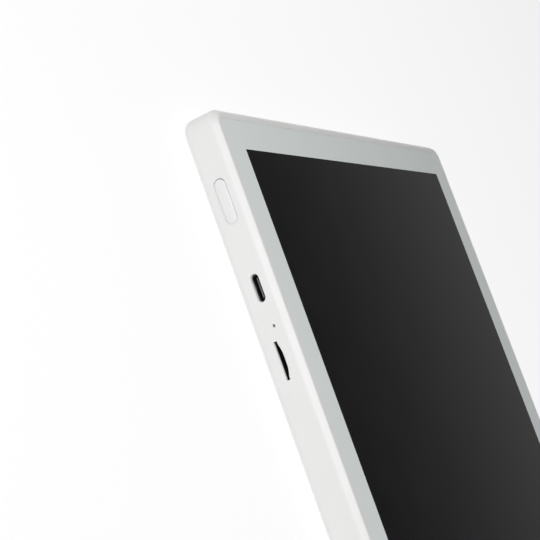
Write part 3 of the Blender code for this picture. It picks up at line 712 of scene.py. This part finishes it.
# ---- Studio --------------------------------------------------------------------------------------
def key_light():
    """One large soft box, above and to the left."""
    place, target = Vector((-0.40, 0.11, 0.60)), Vector((0, 0.06, 0))
    data = bpy.data.lights.new("key", "AREA")
    data.shape = "RECTANGLE"
    data.size, data.size_y = 0.4, 0.6
    data.energy = 3.92
    obj = bpy.data.objects.new("key", data)
    bpy.context.scene.collection.objects.link(obj)
    obj.location = place
    obj.rotation_mode = "QUATERNION"
    obj.rotation_quaternion = (target - place).to_track_quat("-Z", "Y")


def studio_world():
    """A room that is pale near the horizon and dim overhead; each stop is (height, brightness)."""
    world = bpy.data.worlds.new("studio")
    world.use_nodes = True
    tree = world.node_tree
    place = tree.nodes.new("ShaderNodeTexCoord")
    split = tree.nodes.new("ShaderNodeSeparateXYZ")
    ramp = tree.nodes.new("ShaderNodeValToRGB")
    elements = ramp.color_ramp.elements
    stops = ((0.0, 0.75), (0.12, 0.54), (0.285, 0.28), (0.39, 0.026), (1.0, 0.035))
    while len(elements) < len(stops):
        elements.new(0.5)
    for element, (height, level) in zip(elements, stops):
        element.position = height
        element.color = (level, level, level, 1)
    background = tree.nodes["Background"]
    background.inputs["Strength"].default_value = 1.0
    tree.links.new(place.outputs["Generated"], split.inputs["Vector"])
    tree.links.new(split.outputs["Z"], ramp.inputs["Fac"])
    tree.links.new(ramp.outputs["Color"], background.inputs["Color"])
    bpy.context.scene.world = world


def floor_glow_with_painted_shadow(n):
    """The floor's own light: even, and dimmer inside the outline of the body that stands on it, as a painted
    contact shadow.
    """
    inner = (HALF_X - CORNER_R, HALF_Y - CORNER_R, 0)
    steps = (("ABSOLUTE", None), ("SUBTRACT", inner), ("MAXIMUM", (0, 0, 0)), ("LENGTH", None))
    reach = n.place
    for operation, other in steps:
        step = n.add("ShaderNodeVectorMath", operation=operation)
        n.link(reach, step.inputs[0])
        if other:
            step.inputs[1].default_value = other
        reach = step.outputs["Value" if operation == "LENGTH" else "Vector"]
    # Painted contact shadow: the glow drops inside the body's outline.
    glow = n.add("ShaderNodeMapRange", interpolation_type="SMOOTHSTEP")
    glow.inputs["From Min"].default_value = CORNER_R - PAINTED_SHADOW_FROM
    glow.inputs["From Max"].default_value = CORNER_R - PAINTED_SHADOW_TO
    glow.inputs["To Min"].default_value = PAINTED_SHADOW_GLOW
    glow.inputs["To Max"].default_value = GLOW
    n.link(reach, glow.inputs["Value"])
    return glow.outputs["Result"]


def floor():
    """A wide sheet of pale paper, just under the body."""
    bm = bmesh.new()
    bmesh.ops.create_grid(bm, x_segments=1, y_segments=1, size=3.0)
    sheet = raw("floor", bm)
    sheet.location.z = -0.1 * MM
    n = Nodes("floor_paper")
    # The floor's glow, with the painted contact shadow under the body.
    glow = floor_glow_with_painted_shadow(n)
    tone = n.ramp(n.noise(0.25, detail=2), ((0.3, (0.20, 0.20, 0.20)), (0.7, (0.215, 0.215, 0.215))))
    n.shader.inputs["Emission Color"].default_value = (1, 1, 1, 1)
    sheet.data.materials.append(n.set(base_color=tone, roughness=0.9, emission_strength=glow))


def studio():
    """The floor, the room and its one light, seen without a film curve."""
    floor()
    studio_world()
    key_light()
    bpy.context.scene.view_settings.view_transform = "Standard"


def camera():
    """Low over the left edge, abreast of the sockets, rolled so that the left edge runs down the frame."""
    socket = Vector((SIDE, USB[0], USB[1]))
    from_socket = Vector((-374.7, -60.5, 181.3)) * MM
    heading, dip, roll = (math.radians(a) for a in (9.68, 24.80, 66.03))
    ahead = Vector((math.cos(dip) * math.cos(heading), math.cos(dip) * math.sin(heading), -math.sin(dip)))
    data = bpy.data.cameras.new("camera")
    data.lens, data.sensor_width = 96.5, 36.0
    data.clip_start, data.clip_end = 0.01, 20.0
    obj = bpy.data.objects.new("camera", data)
    bpy.context.scene.collection.objects.link(obj)
    obj.location = socket + from_socket
    obj.rotation_mode = "QUATERNION"
    obj.rotation_quaternion = Quaternion(ahead, -roll) @ ahead.to_track_quat("-Z", "Y")
    bpy.context.scene.camera = obj


camera()
studio()
dress_nodes()
housing()
power_symbol()
button()
cover()
usb_shell()
usb_tongue()
mic_mesh()
card_contacts()
card_spring()
